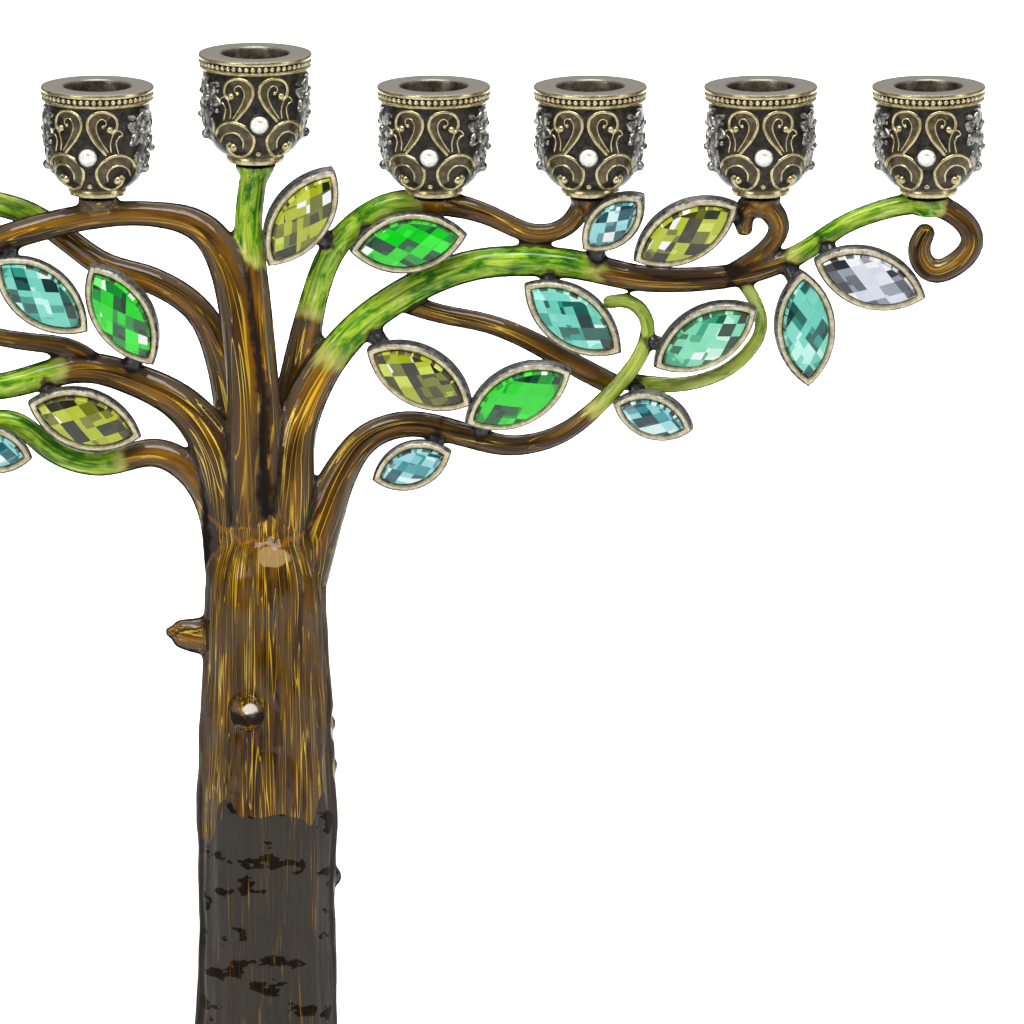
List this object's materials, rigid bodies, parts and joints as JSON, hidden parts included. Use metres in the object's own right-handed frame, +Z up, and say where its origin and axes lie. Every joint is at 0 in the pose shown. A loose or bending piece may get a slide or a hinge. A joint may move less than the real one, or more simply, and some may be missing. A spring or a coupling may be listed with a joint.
{
  "type": "tree candelabrum",
  "caption": "Free-standing candelabrum cast as a spreading tree: trunk on an oval foot, curling boughs with crystal leaves, and a level row of candle cups with one raised.",
  "frame": {"origin": "centre of the felted underside, where the trunk's axis meets the table", "axes": "+X to the viewer's right along the row of cups, +Y to the back, +Z up; the crystal leaves face -Y"},
  "size_m": [0.2169, 0.062, 0.18],
  "materials": {
    "brown_enamel": "glossy translucent brown enamel with gold veins",
    "green_enamel": "glossy green enamel streaked with lime and yellow",
    "cup_metal": "antique brass, brushed rim, dark in the recesses",
    "felt": "dark green felt",
    "fastener_steel": "zinc-plated",
    "crystal_olive": "faceted, foiled back",
    "crystal_green": "faceted, foiled back",
    "crystal_teal": "faceted, foiled back",
    "crystal_aqua": "faceted, foiled back",
    "crystal_emerald": "faceted, foiled back",
    "crystal_clear": "faceted, foiled back"
  },
  "bodies": {
    "root": {"trunk": "brown_enamel", "foot": "brown_enamel", "left_main_bough": "brown_enamel", "right_lower_bough": "brown_enamel", "left_middle_bough": "brown_enamel", "right_middle_twig": "brown_enamel", "shamash_stem": "green_enamel", "right_main_bough": "green_enamel", "right_upper_bough": "green_enamel", "left_upper_bough": "green_enamel", "left_lower_bough": "green_enamel", "right_tendril": "green_enamel", "felt_pad": "felt", "trunk_screw": "fastener_steel", "screw_washer": "fastener_steel", "cup_shamash": "cup_metal", "cup_stone_shamash": "crystal_clear", "cup_right_1": "cup_metal", "cup_stone_right_1": "crystal_clear", "cup_right_2": "cup_metal", "cup_stone_right_2": "crystal_clear", "cup_right_3": "cup_metal", "cup_stone_right_3": "crystal_clear", "cup_right_4": "cup_metal", "cup_stone_right_4": "crystal_clear", "cup_left_1": "cup_metal", "cup_stone_left_1": "crystal_clear", "cup_left_2": "cup_metal", "cup_stone_left_2": "crystal_clear", "cup_left_3": "cup_metal", "cup_stone_left_3": "crystal_clear", "cup_left_4": "cup_metal", "cup_stone_left_4": "crystal_clear", "crystal_olive_1": "crystal_olive", "crystal_green_1": "crystal_green", "crystal_aqua_1": "crystal_aqua", "crystal_olive_2": "crystal_olive", "crystal_teal_1": "crystal_teal", "crystal_emerald_1": "crystal_emerald", "crystal_teal_2": "crystal_teal", "crystal_clear_1": "crystal_clear", "crystal_olive_3": "crystal_olive", "crystal_green_2": "crystal_green", "crystal_aqua_2": "crystal_aqua", "crystal_aqua_3": "crystal_aqua", "crystal_teal_3": "crystal_teal", "crystal_green_3": "crystal_green", "crystal_olive_4": "crystal_olive", "crystal_aqua_4": "crystal_aqua", "crystal_green_4": "crystal_green", "crystal_aqua_5": "crystal_aqua", "crystal_teal_4": "crystal_teal", "crystal_clear_2": "crystal_clear", "crystal_emerald_2": "crystal_emerald", "crystal_aqua_6": "crystal_aqua", "crystal_aqua_7": "crystal_aqua", "crystal_olive_5": "crystal_olive"}
  },
  "joints": []
}
